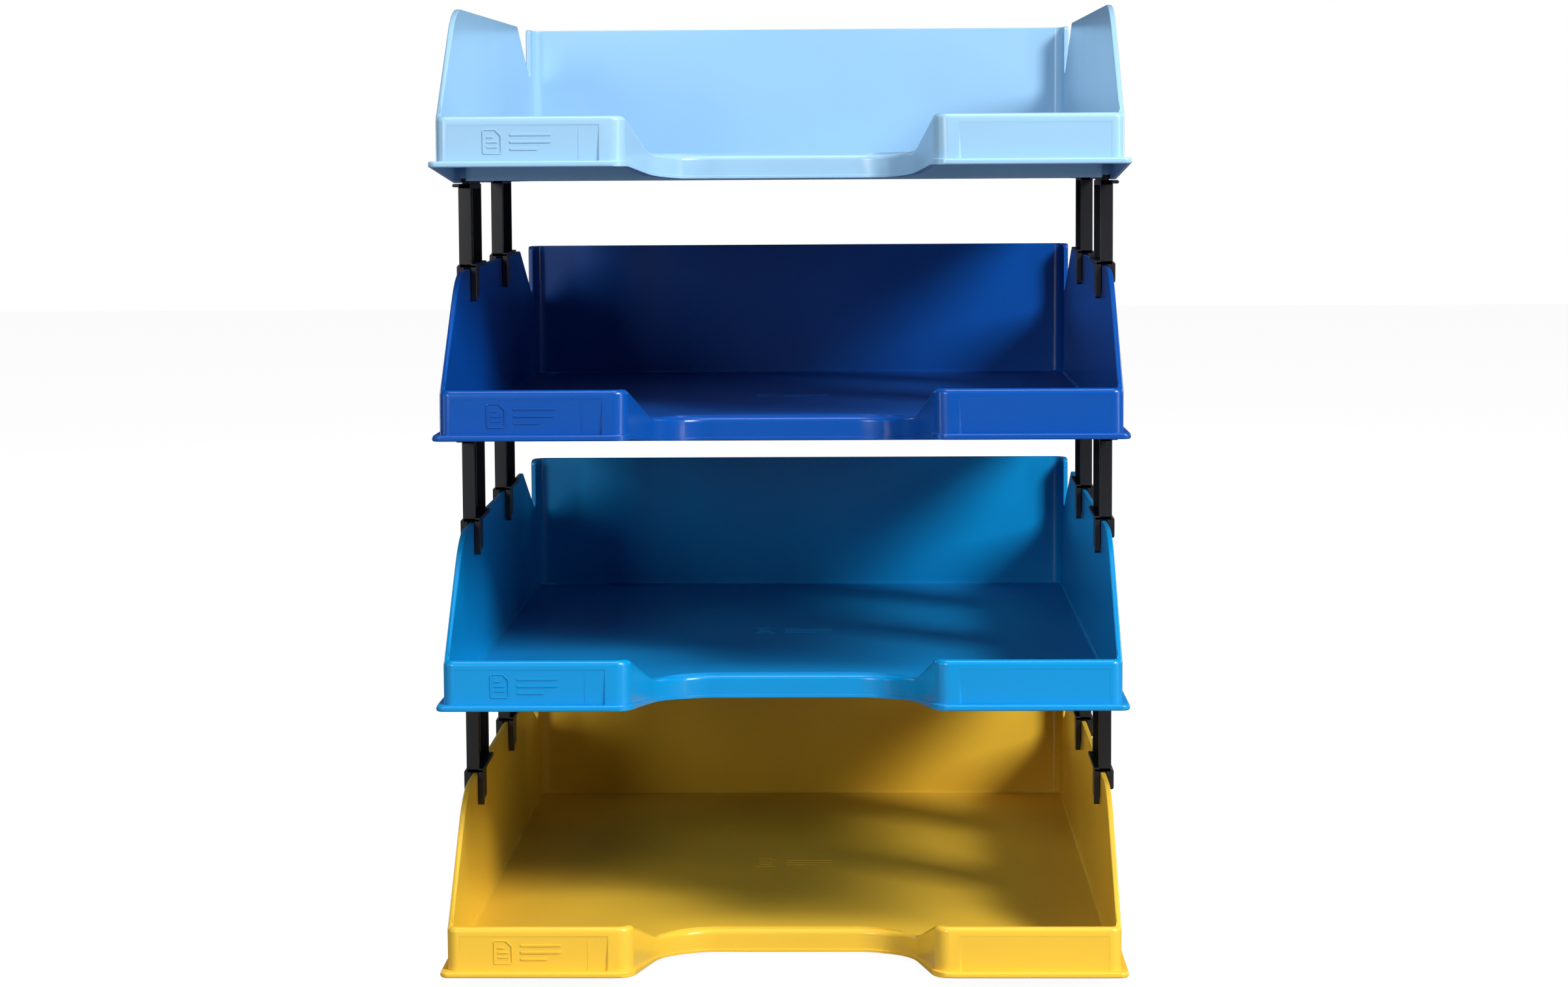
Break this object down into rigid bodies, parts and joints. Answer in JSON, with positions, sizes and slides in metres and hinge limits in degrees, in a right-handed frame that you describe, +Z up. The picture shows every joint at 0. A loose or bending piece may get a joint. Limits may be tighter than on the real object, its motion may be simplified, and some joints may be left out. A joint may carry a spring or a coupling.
{
  "type": "letter tray",
  "caption": "Stack of open plastic letter trays in different colours, each with two label pads and a finger scoop, held apart by clip-on black risers.",
  "frame": {"origin": "centre of the footprint, on the surface the stack stands on", "axes": "+Z up, -Y the open front with the label pads, +X to the right seen from the front"},
  "size_m": [0.259, 0.347, 0.3683],
  "materials": {
    "yellow_plastic": "semi-gloss moulded",
    "process_blue_plastic": "semi-gloss moulded",
    "dark_blue_plastic": "semi-gloss moulded",
    "light_blue_plastic": "semi-gloss moulded",
    "black_plastic": "satin moulded"
  },
  "bodies": {
    "bottom_tray": {"bottom_tray": "yellow_plastic"},
    "risers_1": {"riser_1_front_left": "black_plastic", "riser_1_front_right": "black_plastic", "riser_1_rear_left": "black_plastic", "riser_1_rear_right": "black_plastic"},
    "lower_middle_tray": {"lower_middle_tray": "process_blue_plastic"},
    "risers_2": {"riser_2_front_left": "black_plastic", "riser_2_front_right": "black_plastic", "riser_2_rear_left": "black_plastic", "riser_2_rear_right": "black_plastic"},
    "upper_middle_tray": {"upper_middle_tray": "dark_blue_plastic"},
    "risers_3": {"riser_3_front_left": "black_plastic", "riser_3_front_right": "black_plastic", "riser_3_rear_left": "black_plastic", "riser_3_rear_right": "black_plastic"},
    "top_tray": {"top_tray": "light_blue_plastic"}
  },
  "joints": [
    {"name": "risers_1_lift", "type": "slide", "parent": "bottom_tray", "child": "risers_1", "axis": [0, 0, 1], "range_m": [0, 0.02]},
    {"name": "lower_middle_tray_lift", "type": "slide", "parent": "risers_1", "child": "lower_middle_tray", "axis": [0, 0, 1], "range_m": [0, 0.015]},
    {"name": "risers_2_lift", "type": "slide", "parent": "lower_middle_tray", "child": "risers_2", "axis": [0, 0, 1], "range_m": [0, 0.02]},
    {"name": "upper_middle_tray_lift", "type": "slide", "parent": "risers_2", "child": "upper_middle_tray", "axis": [0, 0, 1], "range_m": [0, 0.015]},
    {"name": "risers_3_lift", "type": "slide", "parent": "upper_middle_tray", "child": "risers_3", "axis": [0, 0, 1], "range_m": [0, 0.02]},
    {"name": "top_tray_lift", "type": "slide", "parent": "risers_3", "child": "top_tray", "axis": [0, 0, 1], "range_m": [0, 0.015]}
  ]
}
